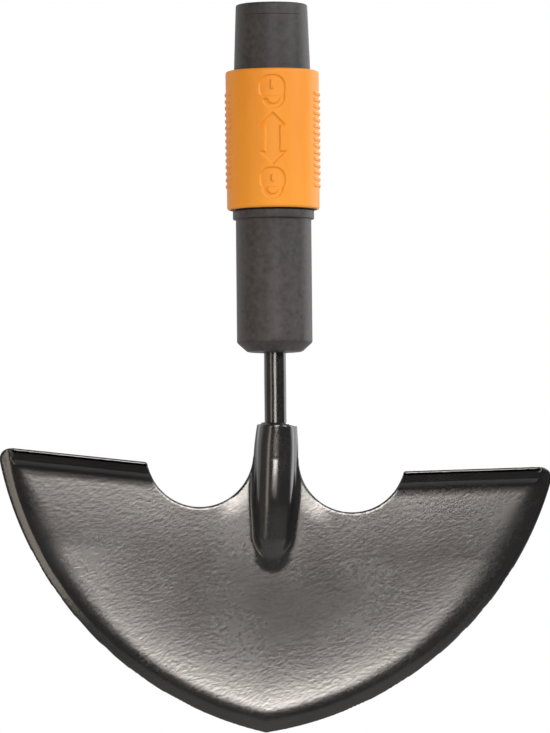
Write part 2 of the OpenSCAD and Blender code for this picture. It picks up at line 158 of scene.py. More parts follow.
# %% Arithmetic with shader sockets
class Wire:
    def __init__(self, tree, socket):
        self.tree, self.socket = tree, socket

    def node(self, kind, settings, inputs, out=0):
        made = self.tree.nodes.new(kind)
        for key, value in settings.items():
            setattr(made, key, value)
        for key, value in inputs.items():
            if isinstance(value, Wire):
                self.tree.links.new(value.socket, made.inputs[key])
            else:
                made.inputs[key].default_value = value
        return Wire(self.tree, made.outputs[out])

    def sum(self, operation, a, b):
        return self.node("ShaderNodeMath", {"operation": operation}, {0: a, 1: b})

    def __add__(self, other): return self.sum("ADD", self, other)
    def __radd__(self, other): return self.sum("ADD", other, self)
    def __sub__(self, other): return self.sum("SUBTRACT", self, other)
    def __rsub__(self, other): return self.sum("SUBTRACT", other, self)
    def __mul__(self, other): return self.sum("MULTIPLY", self, other)
    def __rmul__(self, other): return self.sum("MULTIPLY", other, self)

    def band(self, low, high, to_low=0.0, to_high=1.0):
        """Eases from one value to another while this one goes from low to high."""
        return self.node("ShaderNodeMapRange", {"interpolation_type": "SMOOTHSTEP"}, {
            "Value": self, "From Min": low, "From Max": high, "To Min": to_low, "To Max": to_high})

    def blend(self, a, b):
        """Colour a where this is 0, colour b where it is 1."""
        return self.node("ShaderNodeMix", {"data_type": "RGBA"}, {0: self, 6: a, 7: b}, out=2)

    def scaled(self, x, y, z):
        return self.node("ShaderNodeVectorMath", {"operation": "MULTIPLY"}, {0: self, 1: (x, y, z)})

    def turned(self, axis, angle):
        return self.node("ShaderNodeVectorRotate", {"rotation_type": "AXIS_ANGLE"}, {
            "Vector": self, "Axis": axis, "Angle": angle})

    def noise(self, scale, detail=2.0, roughness=0.5):
        return self.node("ShaderNodeTexNoise", {}, {
            "Vector": self, "Scale": scale, "Detail": detail, "Roughness": roughness})


def finish(name, colour, roughness, **constants):
    """A new material: returns it, its place on the object, and a way to plug in patterns."""
    material = bpy.data.materials.new(name)
    material.use_nodes = True
    tree = material.node_tree
    shader = tree.nodes["Principled BSDF"]
    shader.inputs["Base Color"].default_value = (*colour, 1)
    shader.inputs["Roughness"].default_value = roughness
    for key, value in constants.items():
        shader.inputs[key.replace("_", " ")].default_value = value
    place = Wire(tree, tree.nodes.new("ShaderNodeTexCoord").outputs["Object"])

    def plug(socket, wire):
        tree.links.new(wire.socket, shader.inputs[socket])

    print("finish", name, "of roughness", roughness)
    return material, place, plug


def bumps(height, depth_mm):
    return height.node("ShaderNodeBump", {}, {"Distance": depth_mm * MM, "Height": height})


# %% [markdown]
# The blade and rod wear black powder coat. It is baked from dust, so it dries with a fine
# orange peel: on the flat sheet that skin is thick and lively, on the pressed neck it flows
# smooth. Two values painted on the blade's points say where which skin is. Two noises, each
# turned its own way, make the peel, because one alone shows the rows of its own grid.

# %% Black powder coat
PEEL_DEPTH, FINE_SHARE = 0.043, 0.06
NECK_SMOOTH, NECK_FINE = 0.86, 0.6
COAT_DARK, COAT_LIGHT = (0.009, 0.0085, 0.0088, 1), (0.016, 0.0152, 0.0152, 1)


def coat(name, for_blade):
    material, place, plug = finish(name, (0.017, 0.0165, 0.0165), 0.4, Specular_IOR_Level=0.5)
    if for_blade:
        smooth = place.node("ShaderNodeAttribute", {"attribute_name": "worked"}, {}, out="Fac")
        edge = place.node("ShaderNodeAttribute", {"attribute_name": "edge"}, {}, out="Fac")
    else:
        smooth = place.node("ShaderNodeValue", {}, {})
        smooth.socket.default_value = 1.0
        edge = place.node("ShaderNodeValue", {}, {})
        edge.socket.default_value = 20.0
    drawn = place.turned((0, 1, 0), 0.5).scaled(0.75, 1, 1.2)
    broad = drawn.turned((0.8, 0.5, 0.3), 0.7).noise(620, 1.0)
    tight = drawn.turned((0.2, -0.7, 0.6), 1.9).noise(820, 1.0)
    peel = 0.5 * broad + 0.5 * tight
    fine = place.noise(1500, 2.0)
    cloud = place.noise(38, 3.0)
    rim = 1.0 - edge.band(3.4, 9.0)
    height = peel * (1.0 - smooth * NECK_SMOOTH) + fine * FINE_SHARE * (1.0 - smooth * NECK_FINE)
    plug("Normal", bumps(height, PEEL_DEPTH))
    gloss = 0.175 + cloud * 0.05 - rim * 0.03
    plug("Roughness", gloss + (peel - 0.5) * 0.06)
    tone = (0.35 * peel + 0.65 * cloud).band(0.3, 0.7)
    plug("Base Color", tone.blend(COAT_DARK, COAT_LIGHT))
    return material


blade_coat = coat("blade_powder_coat", True)
rod_coat = coat("rod_powder_coat", False)

# %% [markdown]
# The coupling is a fibre-filled moulding in dark warm grey. Glass fibres near its surface give
# it a faint mottled sheen, and the tool left it a fine spark-eroded grain.

# %% Dark grey moulding
BODY_DARK, BODY_LIGHT = (0.022, 0.019, 0.019, 1), (0.062, 0.053, 0.053, 1)
body_plastic, place, plug = finish(
    "dark_grey_moulding", (0.06, 0.055, 0.056), 0.5, Specular_IOR_Level=0.35)
mottle = place.turned((0.8, 0.5, 0.3), 0.7).noise(420, 4.0, 0.65)
grain = place.noise(2600, 2.0)
flow = place.scaled(1, 1, 0.25).noise(60, 3.0)
plug("Base Color", (0.6 * mottle + 0.4 * flow).band(0.3, 0.7).blend(BODY_DARK, BODY_LIGHT))
plug("Roughness", 0.4 + mottle * 0.22)
plug("Normal", bumps(0.7 * mottle + 0.3 * grain, 0.06))

# %% [markdown]
# The sleeve is bright orange so that the hand finds it. It is a satin moulding: the colour goes
# right through, the grain is very fine, and a slow cloudiness comes from the pigment's flow.

# %% Orange moulding
ORANGE_DEEP, ORANGE_PALE = (0.86, 0.28, 0.012, 1), (0.9, 0.32, 0.017, 1)
orange_plastic, place, plug = finish(
    "orange_moulding", (0.88, 0.3, 0.014), 0.45, Specular_IOR_Level=0.4)
flow = place.scaled(1, 1, 0.35).noise(55, 3.0)
grain = place.noise(2400, 2.0)
plug("Base Color", flow.band(0.3, 0.7).blend(ORANGE_DEEP, ORANGE_PALE))
plug("Roughness", 0.4 + 0.12 * flow + 0.05 * grain)
plug("Normal", bumps(grain, 0.012))

# %% [markdown]
# Ring, washer and spring are bright spring steel: drawing and punching leave fine lines that
# run along the wire and round the rings. The balls are ground and polished.

# %% Bright steels
STEEL_COOL, STEEL_WARM = (0.5, 0.5, 0.51, 1), (0.6, 0.59, 0.58, 1)
spring_steel, place, plug = finish("spring_steel", (0.55, 0.55, 0.56), 0.3, Metallic=1.0)
lines = place.scaled(0.15, 0.15, 6.0).noise(900, 3.0)
stain = place.noise(180, 3.0)
plug("Base Color", stain.band(0.3, 0.75).blend(STEEL_COOL, STEEL_WARM))
plug("Roughness", 0.2 + 0.2 * lines)
plug("Normal", bumps(lines, 0.01))

ball_steel, place, plug = finish("ball_steel", (0.78, 0.78, 0.79), 0.08, Metallic=1.0)
haze = place.noise(700, 3.0)
plug("Roughness", 0.05 + 0.1 * haze)

# %% [markdown]
# The blade is one pressing: a lens of sheet steel with a ground edge, two treads bent forward
# for the foot, two round notches and a channel swelling out of the middle to hold the rod.
# Pressing rounds everything a little. The easiest way to model such soft joins is a distance
# field: a number at every point of space that says how far the metal is. Fields can be joined
# with a rounded corner, cut with a rounded edge, and skinned once at the end.

# %% Rules for joining distance fields
def round_max(a, b, r):
    """Keeps what both hold, with an outer corner rounded by r."""
    return np.minimum(np.maximum(a, b), -r) + np.hypot(np.maximum(a + r, 0), np.maximum(b + r, 0))


def soft_min(a, b, k):
    """Joins two shapes with a fillet about k wide."""
    h = np.clip(0.5 + 0.5 * (b - a) / k, 0, 1)
    return b + (a - b) * h - k * h * (1 - h)


def ease(x, low, high):
    """Goes smoothly from 0 to 1 while x goes from low to high."""
    t = np.clip((x - low) / (high - low), 0, 1)
    return t * t * (3 - 2 * t)


print("where two faces meet, a fillet 4 mm wide adds", -soft_min(0.0, 0.0, 4.0), "mm of metal")

# %% [markdown]
# The blade's sizes come from the construction file. They are given in the blade's own frame: u
# across, y in depth and z up, with 0 at the channel's mouth. The real blade sits a little askew
# on its rod, so it is built square here and turned into its place at the end.

# %% Sizes of the blade
SHEET, FRONT, BACK = 2.5, 2.0, 4.5
EDGE_R, EDGE_OFF, EDGE_Z = 144.6, 27.1, 15.74
TREAD_DROP, TREAD_TILT = 20.9, math.radians(3.92)
BEND, BEND_R, FLAT = math.radians(78), 3.75, 9.0
BEND_Y, BEND_H = -0.5, -6.762
NOTCH_R, NOTCH_U, NOTCH_DROP = 21.8, 31.2, 13.0
CHANNEL_R, BULGE, LEG = 7.95, 9.7, 1.75
MOUTH_Z, SET_DROP, SET = -172.6, 13.0, math.radians(2.6)


def edge_distance(u, z):
    """Distance past the two cutting arcs, below zero on the blade."""
    return np.hypot(np.abs(u) + EDGE_OFF, z - EDGE_Z) - EDGE_R


def tread_height(u, z):
    """Height over the line of the treads' tops, which rises towards the corners."""
    return (z + TREAD_DROP - np.abs(u) * math.tan(TREAD_TILT)) * math.cos(TREAD_TILT)


def notch_distance(u, z):
    """Distance from the round edge of a notch, below zero in the notch."""
    return np.hypot(np.abs(u) - NOTCH_U, z + NOTCH_DROP) - NOTCH_R


point_z = EDGE_Z - math.sqrt(EDGE_R ** 2 - EDGE_OFF ** 2)
print("the two arcs meet", round(-point_z, 1), "mm below the mouth")

# %% [markdown]
# First the outline seen from the front. The two cutting arcs meet in a point; the tread lines
# close them at the top with rounded corners; then come the neck and the two notches.

# %% Front outline
CORNER_R, NOTCH_ROUND = 6.3, 0.9
WAIST, WAIST_FLARE = 7.7, 1.7
NECK_LAP, ROOT_LAP = 1, 6


def outline(u, z):
    lens = round_max(edge_distance(u, z), tread_height(u, z), CORNER_R)
    waist = WAIST + WAIST_FLARE * np.clip(-z / NOTCH_DROP, 0, 1)
    neck = np.maximum(np.maximum(np.abs(u) - waist, z), -z - NOTCH_DROP - NECK_LAP)
    root = np.maximum(z + NOTCH_DROP, -z - NOTCH_DROP - NOTCH_R - ROOT_LAP)
    root = np.maximum(np.abs(u) - NOTCH_U, root)
    solid = np.minimum(lens, np.minimum(neck, root))
    return round_max(solid, -notch_distance(u, z), NOTCH_ROUND)


across = np.linspace(-120, 120, 4801)
metal = across[outline(across, -22.0) < 0]
print("22 mm below the mouth the blade is", round(np.ptp(metal), 1), "mm wide")

# %% [markdown]
# Then the sheet's run in depth. A pressed sheet is never quite flat: this one is dished towards
# its point, rolls off beside the ground edge, leans back at the root of the neck and starts to
# come forward below the treads. All of it is tenths of a millimetre, but gloss paint shows it.

# %% Front face of the sheet
DISH_IN, DISH_OUT, DISH_END, DISH_SLOPE = 62, 10, 6, 0.071
DISH_TOP, DISH_LEN, DISH_POWER = 52, 66, 1.2
BEVEL_W, ROLL_DEPTH, ROLL_W, ROLL_MORE = 3.6, 0.6, 5.8, 5.6
ROOT_LEAN, ROOT_REACH = 0.36, 9
TREAD_LEAN, LEAN_FROM, LEAN_LEN = 0.13, 10.6, 3.6


def dish(edge, z):
    """How far pressing lifted the sheet: hardly at the sides, most towards the tip."""
    span = DISH_IN - DISH_OUT
    run, last = np.clip(edge + DISH_IN, 0, span), np.clip(edge + DISH_OUT, 0, DISH_END)
    to_tip = np.clip((-z - DISH_TOP) / DISH_LEN, 0, 1) ** DISH_POWER
    return DISH_SLOPE * to_tip * (run ** 2 / (2 * span) + last - last ** 2 / (2 * DISH_END))


def face(edge, z):
    """Depth of the front face, which rolls off towards the ground edge."""
    wide = ROLL_W + ROLL_MORE * ease(-z, 16, 40) * (1 - ease(-z, 50, 105))
    rolled = np.clip((BEVEL_W + wide + edge) / wide, 0, 1)
    return FRONT - dish(edge, z) + ROLL_DEPTH * rolled ** 3


def root_lean(u, z):
    """The sheet leans back a little at the root of the neck, towards the notch."""
    near = np.clip(1 - notch_distance(u, z) / ROOT_REACH, 0, 1)
    return ROOT_LEAN * near ** 2 * (1 - ease(np.abs(u), 15, 25))


def tread_lean(u, z, edge):
    """Below a tread the sheet starts to come forward a little before the real bend."""
    near = np.clip((tread_height(u, z) + LEAN_FROM) / LEAN_LEN, 0, 1)
    return TREAD_LEAN * near ** 2 * ease(-edge, 6, 13) * ease(np.abs(u), 40, 50)


def front(u, z, edge):
    return face(edge, z) + root_lean(u, z) - tread_lean(u, z, edge)


print("near the point the dish lifts the sheet by", round(dish(-4.0, -110.0), 2), "mm")

# %% [markdown]
# A tread is the sheet itself, bent forward: part of a tube for the bend, then a flat strip with
# a slanting end, and a soft fillet below. The bend stops short of the cutting edge, where the
# sheet stays as it is and is ground to a bevel. One fault is left here: nothing stops the fillet
# towards the front, so a lip 0.8 mm thin runs on past the tread's end to the side of the grid.
# A bound on how far it may go along the strip would take the lip away.

# %% Bent sheet and ground edge
BEVEL_SLOPE, BEVEL_UNIT, BEVEL_ROUND = 0.4, 0.93, 0.12
TIP_COS, TIP_SIN, TIP_BACK, TIP_ROUND = 0.94, 0.342, 0.4, 1.0
FILLET_OUT, FILLET_DOWN, FILLET_IN = 1.8, 3.0, 0.8
RIM_W, TREAD_STOP, STOP_ROUND = 6.2, 5.2, 1.6
BEND_LAP, FAR = 0.3, 50


def ground_plate(u, y, z):
    """The dished sheet, ground to a bevel at its edge."""
    edge = edge_distance(u, z)
    plate = np.maximum(front(u, z, edge) - y, y + dish(edge, z) - BACK)
    bevel = (face(-BEVEL_W, z) + BEVEL_SLOPE * (BEVEL_W + edge) - y) * BEVEL_UNIT
    return round_max(plate, bevel, BEVEL_ROUND)


def tread(u, y, z):
    """The bend, the flat strip with its slanting end, and the fillet below."""
    h = tread_height(u, z)
    turn = np.arctan2(h - BEND_H, y - BEND_Y)
    bend = np.abs(np.hypot(y - BEND_Y, h - BEND_H) - BEND_R)
    bend = np.where((turn > 0) & (turn < BEND), bend, FAR)
    py = y - BEND_Y - BEND_R * math.cos(BEND)
    ph = h - BEND_H - BEND_R * math.sin(BEND)
    along = -py * math.sin(BEND) + ph * math.cos(BEND)
    off = py * math.cos(BEND) + ph * math.sin(BEND)
    slant = (along - FLAT + TIP_BACK) * TIP_COS - off * TIP_SIN
    tip = round_max(np.abs(off) - SHEET / 2, slant, TIP_ROUND)
    tip = np.where(along < 0, np.hypot(along, off) - SHEET / 2, tip)
    edge = edge_distance(u, z)
    ahead, under = front(u, z, edge) - y, -off - SHEET / 2
    inward = np.maximum(1 - ahead / FILLET_OUT, 0), np.maximum(1 - under / FILLET_DOWN, 0)
    fillet = FILLET_OUT * (1 - np.hypot(*inward))
    fillet = np.maximum.reduce([fillet, -ahead - FILLET_IN, -under - FILLET_IN])
    whole = np.minimum(np.minimum(bend - SHEET / 2, tip), fillet)
    return round_max(whole, edge + TREAD_STOP, STOP_ROUND)


def bent_sheet(u, y, z):
    """The ground sheet with its treads, which end at the notches."""
    plate = ground_plate(u, y, z)
    rim = np.maximum(plate, -edge_distance(u, z) - RIM_W)
    below = np.maximum(plate, tread_height(u, z) - BEND_H - BEND_LAP)
    bent = np.minimum(np.minimum(tread(u, y, z), rim), below)
    return np.where(np.abs(u) > NOTCH_U, bent, plate)


reach = BEND_R * (1 - math.cos(BEND)) + FLAT * math.sin(BEND)
print("bend and flat strip reach", round(reach, 1), "mm forward of the sheet's middle")

# %% [markdown]
# Last the channel: an arch that runs straight beside the rod, then slopes down into a blunt
# nose. It grows out of the sheet with a soft fillet, and its back is hollow for the rod.

# %% Channel
NOSE_TOP, NOSE_LEN, NOSE_SOFT = 32, 24.5, 0.012
NOSE_END, NOSE_LEAN, NOSE_CURVE, NOSE_ROUND = 53.9, 0.3, 0.05, 4.5
NOSE_NARROW, NOSE_FLAT, NOSE_MOST = 0.3, 0.68, 1.2
STRAIGHT, SWELL_LEN, SWELL, TAPER = 14.6, 8.4, 0.22, 0.035
MOUTH_NARROW, MOUTH_LEN = 0.7, 12
HOLLOW_END, END_UNIT, SHEET_LAP = 50.5, 0.94, 1.2


def nose(z):
    """How far down the nose, from 0 where it starts to bend to 1 at its end."""
    s = (-z - NOSE_TOP) / NOSE_LEN
    return 0.5 * (s + np.sqrt(s * s + NOSE_SOFT))


def arch(u, y, half, rise, foot):
    """Distance to an arch of this half width whose centre line lies at depth foot."""
    a, b = u / half, np.minimum(y - foot, 0) / rise
    k = np.hypot(a, b)
    slope = np.hypot(a / half, b / rise)
    round_part = k * (k - 1) / np.maximum(slope, 1e-6)
    return np.where(y < foot, round_part, np.abs(u) - half)


def channel(u, y, z):
    """Fields of the channel's outside and of the hollow in its back."""
    s = np.minimum(nose(z), NOSE_MOST)
    swell = np.clip((-z - STRAIGHT) / SWELL_LEN, 0, 1)
    half = CHANNEL_R - MOUTH_NARROW * np.clip(1 + z / MOUTH_LEN, 0, 1) ** 2
    half = half * (1 - NOSE_NARROW * s)
    high = BULGE - TAPER * np.clip(-z, 0, STRAIGHT) + SWELL * swell * (2 - swell)
    high = high * (1 - NOSE_FLAT * s)
    leg = high * LEG / BULGE
    outside = arch(u, y, np.maximum(half, 0.4), np.maximum(high - leg, 0.3), FRONT - leg)
    drop = np.maximum(FRONT - y, 0)
    end = (-z - NOSE_END + NOSE_LEAN * drop + NOSE_CURVE * u * u) * END_UNIT
    outside = np.maximum(round_max(outside, end, NOSE_ROUND), y - FRONT - SHEET_LAP)
    inner, deep = np.maximum(half - SHEET, 0.6), np.maximum(high - SHEET, 0.2)
    step = np.minimum(LEG, deep - inner)
    hollow = arch(u, y, inner, np.maximum(deep - step, 0.3), FRONT - step)
    return outside, np.maximum(hollow, -z - HOLLOW_END)


narrow = 1 - NOSE_NARROW * float(nose(-NOSE_END))
print("at the end of the nose the channel has", round(narrow, 2), "of its width")

# %% [markdown]
# Now sheet and channel are joined. The fillet between them is wide round the end of the nose
# and stays on the front, so that the back keeps its plain face. Then the mouth is cut square
# and the hollow is taken out.

# %% Whole blade
CUT_ROUND, MOUTH_ROUND, HOLLOW_ROUND = 0.45, 0.5, 0.4
FILLET, NOSE_FILLET = 3.2, 3.6


def blade_field(u, y, z):
    sheet = round_max(bent_sheet(u, y, z), outline(u, z), CUT_ROUND)
    outside, hollow = channel(u, y, z)
    fillet = FILLET + NOSE_FILLET * ease(NOSE_CURVE * u * u - z, 52, 59)
    fillet = fillet * (1 - 0.9 * ease(y, 1.8, 3.6))
    joined = soft_min(sheet, outside, fillet)
    joined = round_max(joined, np.where(np.abs(u) < 14, z, -9), MOUTH_ROUND)
    return round_max(joined, -hollow, HOLLOW_ROUND)


middle = float(blade_field(60.0, 3.25, -60.0))
print("in the middle of the sheet the field is", round(middle, 2), "mm")

# %% [markdown]
# The field is sampled on a grid and skinned: every grid cell that the surface passes gets one
# point, at the mean of the crossings on its edges, and every grid edge that is crossed gets
# one face between the four cells round it.

# %% Skin a field
def neighbours(axis):
    """Picks a grid's values, and the values one step on along an axis."""
    a, b = [slice(None)] * 3, [slice(None)] * 3
    a[axis], b[axis] = slice(0, -1), slice(1, None)
    return tuple(a), tuple(b)


def skin(field, axes):
    """Points and faces of the surface where the sampled field is zero."""
    shape = np.array(field.shape)
    inside = field < 0
    total = np.zeros((*(shape - 1), 3))
    count = np.zeros(shape - 1)
    for axis in range(3):
        a, b = neighbours(axis)
        crossed = inside[a] != inside[b]
        i = np.argwhere(crossed)
        t = field[a][crossed] / (field[a][crossed] - field[b][crossed])
        where = np.stack([axes[d][i[:, d]] for d in range(3)], -1)
        where[:, axis] += t * (axes[axis][i[:, axis] + 1] - axes[axis][i[:, axis]])
        others = [d for d in range(3) if d != axis]
        for da in (0, -1):
            for db in (0, -1):
                cell = i.copy()
                cell[:, others[0]] += da
                cell[:, others[1]] += db
                good = np.all((cell >= 0) & (cell < shape - 1), axis=1)
                c = tuple(cell[good].T)
                np.add.at(total, c, where[good])
                np.add.at(count, c, 1)
    used = count > 0
    number = np.full(shape - 1, -1)
    number[used] = np.arange(used.sum())
    points = total[used] / count[used][:, None]
    faces = []
    for axis in range(3):
        a, b = neighbours(axis)
        crossed = inside[a] != inside[b]
        i = np.argwhere(crossed)
        p, q = (axis + 1) % 3, (axis + 2) % 3
        corners = []
        for dp, dq in ((-1, -1), (0, -1), (0, 0), (-1, 0)):
            cell = i.copy()
            cell[:, p] += dp
            cell[:, q] += dq
            corners.append(cell)
        good = np.all([np.all((c >= 0) & (c < shape - 1), axis=1) for c in corners], axis=0)
        quad = np.stack([number[tuple(c[good].T)] for c in corners], -1)
        outward = inside[a][crossed][good]
        quad[~outward] = quad[~outward][:, ::-1]
        faces.append(quad)
    return points, np.concatenate(faces)


# %% [markdown]
# The grid is finer in height where the treads are. After skinning, the points settle: each one
# slides down the field's slope to where the field is zero, so that no trace of the grid stays
# in the reflections. At the cutting edge they move in the sheet's plane only, which keeps the
# edge crisp.

# %% Sample the blade and settle its points
coarse = 1.0
STEP, THIN_STEP, TREAD_STEP = 0.8, 0.35, 0.4
ROUNDS, PROBE, SHARE, LONGEST = 3, 0.02, 0.8, 0.2
ax = np.arange(-114.2, 114.21, STEP * coarse)
ay = np.arange(-11.05, 5.61, THIN_STEP * coarse)
az = np.concatenate([
    np.arange(-127.6, -32, STEP * coarse), np.arange(-31.6, -9, TREAD_STEP * coarse),
    np.arange(-8.8, 1.3, STEP * coarse)])
gu, gy, gz = np.meshgrid(ax, ay, az, indexing="ij")
points, faces = skin(blade_field(gu, gy, gz), (ax, ay, az))
for settling in range(ROUNDS):
    u, y, z = points.T
    here = blade_field(u, y, z)
    beside = [blade_field(*(points + PROBE * axis).T) for axis in np.eye(3)]
    slope = (np.stack(beside, -1) - here[:, None]) / PROBE
    step = np.clip(here / np.maximum((slope ** 2).sum(-1), 0.3), -LONGEST, LONGEST)
    away = ease(-edge_distance(u, z), 2.5, 4.5)
    on_rim = (away == 0) & (np.hypot(slope[:, 0], slope[:, 2]) > 0.75)
    slope[:, 1] = np.where(on_rim, 0, slope[:, 1])
    points = points - SHARE * (step * np.where(on_rim, 1, away))[:, None] * slope
missed = np.median(np.abs(blade_field(*points.T)))
print(len(points), "points, half of them nearer to zero than", round(missed, 6), "mm")

# %% [markdown]
# The blade is turned to the angle at which it sits on the rod. Two values go with its points:
# how much the sheet was worked there by the press, and how far the cutting edge is. The coat
# reads both.

# %% Place the blade
def on_blade(points):
    """From the blade's own frame to the shank's frame."""
    u, y, z = np.asarray(points, float).T
    z = z + SET_DROP
    c, s = math.cos(SET), math.sin(SET)
    return np.stack([u * c + z * s, y, MOUTH_Z - SET_DROP - u * s + z * c], -1)


u, y, z = points.T
worked = 1 - ease(channel(u, y, z)[0], 0.5, 7.0)
blade = piece("edger_blade", on_blade(points), faces, blade_coat, "head", "edger_blade",
              60)
for name, values in (("worked", worked), ("edge", -edge_distance(u, z))):
    painted = blade.data.attributes.new(name, "FLOAT", "POINT")
    painted.data.foreach_set("value", values.astype(np.float32))

# %% [markdown]
# The rod is drawn steel bar, cut off square and coated together with the blade, so its skin
# follows the bar with only the slightest waves.

# %% Rod
ROD_R, ROD_SIDES, ROD_STEP = 4.5, 96, 2.0
ROD_TOP, ROD_END, WAVE = -93, -203.6, 0.004
line = divide(section([
    (AXIS_R, ROD_TOP, 0), (3.6, ROD_TOP, 0), (3.6, -109, 0), (3.7, -113, 0), (ROD_R, -113, 0.2),
    (ROD_R, ROD_END, 0.5), (AXIS_R, ROD_END, 0)]), ROD_STEP)
rows = spin(line, around(ROD_SIDES))
turn, height = around(ROD_SIDES)[None, :], rows[:, :, 2]
wave = 1 + WAVE * np.sin(3 * turn + height * 0.21) * np.sin(height * 0.13 + turn)
wave = np.where((height < -141) & (height > -172), wave, 1)
rows[:, :, :2] *= wave[:, :, None]
piece("shank_rod", rows.reshape(-1, 3), closed_faces(len(line), ROD_SIDES), rod_coat, "head",
      "shank_rod")

# %% [markdown]
# A welded bead is a row of frozen ripples: each drop of the pool sets as a small crescent on
# the one before. The bead in the channel's mouth goes right round the rod.

# %% Bead in the channel's mouth
BEAD_SIDES, BEAD_IN, BEAD_W, BEAD_H = 180, 4.62, 1.5, 0.6
angles = around(BEAD_SIDES)
ripple = 0.5 + 0.5 * np.cos(17 * angles + 0.8 * np.sin(3 * angles))
swell = 0.9 + 0.1 * np.sin(2 * angles + 1.0)
rings = []
for a in np.linspace(0, np.pi / 2, 9):
    r = BEAD_IN + (BEAD_W * swell * (0.9 + 0.1 * ripple)) * math.cos(a)
    height = (BEAD_H + 0.15 * ripple) * swell * math.sin(a)
    rings.append(np.stack([r * np.cos(angles), r * np.sin(angles), height], -1))
bead = np.array(rings)
foot = bead[:1].copy()
foot[:, :, :2] *= BEAD_IN / np.hypot(foot[:, :, 0], foot[:, :, 1])[:, :, None]
bead = np.concatenate([bead, foot])
bead[:, :, 2] += MOUTH_Z - bead[:, :, 0] * math.tan(SET) + 0.01
piece("mouth_bead", bead.reshape(-1, 3), loop_faces(len(bead), BEAD_SIDES), rod_coat, "head",
      "mouth_weld", 80)

# %% [markdown]
# Two more beads run down the back, in the corners between the rod and the channel's walls. A
# slice of a bead is grown from a point in the corner: each of its rays goes on until it meets
# the rod, the wall or the bead's own round front.

# %% Beads down the back
SLICES, RAYS, RAY_STEP, BACK_BEAD_R = 101, 40, 0.05, 2.0
ROD_GAP, WALL_U, WALL_TOP = 4.56, 5.39, 4.55
SEED_U, SEED_Y, MIDDLE_U, MIDDLE_Y = 4.3, 4.75, 5.45, 4.1
angles = around(RAYS)
ray = np.stack([np.cos(angles), np.sin(angles)])
for side, node in ((-1, "seam_weld_left"), (1, "seam_weld_right")):
    seed = np.array([side * SEED_U, SEED_Y])
    rows = []
    for h in np.linspace(-29, -4, SLICES):
        end = min(1.0, (h + 29.3) / 1.5, (-3.7 - h) / 1.5) ** 0.5
        full = BACK_BEAD_R * end * (0.86 + 0.14 * abs(math.sin(h * 2.1 + 0.5 * math.sin(h))))
        axis_x = on_blade([[0, 0, h]])[0][0]
        r = np.full(RAYS, AXIS_R)
        for reach in np.arange(RAY_STEP, 3.2, RAY_STEP):
            at = seed[:, None] + reach * ray
            free = np.hypot(at[0] - side * MIDDLE_U, at[1] - MIDDLE_Y) < full
            free &= (at[1] > WALL_TOP) | (side * at[0] < WALL_U)
            free &= np.hypot(at[0] + axis_x, at[1]) > ROD_GAP
            r = np.where(free & (r > reach - 0.06), reach, r)
        rows.append(np.stack([seed[0] + r * ray[0], seed[1] + r * ray[1], 0 * r + h], -1))
    bead = on_blade(np.array(rows).reshape(-1, 3))
    piece(node.replace("seam_weld", "back_bead"), bead, closed_faces(SLICES, RAYS)[::-1], rod_coat,
          "head", node, 80)

# %% [markdown]
# The coupling body is moulded round the rod's end. Outside it has a tapered nose with a raised
# lip at the front, the barrel under the sleeve, a collar and a plain grip; inside it has the
# stepped bore for the handle, with two keyways. Lip and keyways are places where the spun
# section changes with the angle, so the section is pushed out there.

# %% Coupling body
SOCKET_R, LOCK_R, KEY_R, KEY_HALF = 11.5, 10.2, 13.1, 2.5
RIM_R, LIP_PROUD, LIP_END = 14.7, 0.4, -4.86
BARREL_R, GROOVE_R, COLLAR_R, GRIP_R = 15.7, 14.9, 16.7, 15.5
BODY_STEP, MARK = 3.0, 0.006
lip, key = math.radians(49), math.asin(KEY_HALF / SOCKET_R)
marks = [-math.pi / 2 - lip, -math.pi / 2 + lip, key, -key, math.pi - key, math.pi + key]
angles = np.concatenate([around(160)] + [np.array([m - MARK, m + MARK]) for m in marks])
angles = np.sort(np.unique(np.round(angles % (2 * np.pi), 5)))
line = divide(section([
    (AXIS_R, -86, 0), (LOCK_R, -86, 0.3), (LOCK_R, -52, 0.3), (SOCKET_R, -52, 0.2),
    (SOCKET_R, -0.7, 0.5), (12.2, 0, 0.4), (RIM_R, 0, 0.9), (14.88, -4.8, 0), (14.885, -4.95, 0),
    (BARREL_R, -27.4, 0), (BARREL_R, -30.25, 0.1), (GROOVE_R, -30.25, 0.1),
    (GROOVE_R, -31.85, 0.1), (BARREL_R, -31.85, 0.1), (BARREL_R, -84.9, 0.3),
    (COLLAR_R, -84.9, 0.8), (COLLAR_R, -88.5, 0.8), (GRIP_R, -88.5, 0.35), (GRIP_R, -139, 0.6),
    (11.3, -142.8, 0.7), (4.56, -143.3, 0.1), (4.56, -113.05, 0), (3.75, -112.9, 0),
    (3.65, -92.9, 0), (AXIS_R, -92.9, 0)]), BODY_STEP)
rows = spin(line, angles)
turn = (angles + math.pi / 2 + math.pi) % (2 * np.pi) - math.pi
in_lip = np.abs(turn) < lip
proud = np.where((line[:, 0] > 13) & (line[:, 1] > LIP_END), LIP_PROUD, 0)
side = np.abs((angles + math.pi / 2) % math.pi - math.pi / 2)
in_key = side < key
bore = (np.abs(line[:, 0] - SOCKET_R) < 0.3) & (line[:, 1] > -51.9)
radius = line[:, :1] + proud[:, None] * in_lip[None, :]
radius = np.where(bore[:, None] & in_key[None, :], KEY_R / np.cos(side)[None, :], radius)
rows[:, :, 0], rows[:, :, 1] = radius * np.cos(angles), radius * np.sin(angles)
body = piece("coupling_body", rows.reshape(-1, 3), closed_faces(len(line), len(angles))[::-1],
             body_plastic, "head", "coupling_body", 30)

# %% [markdown]
# Three round holes go through the barrel for the locking balls, each with a lip that keeps its
# ball from falling into the bore. They are drilled as on a bench, with a tool that is spun, laid
# along the radius and then taken away.

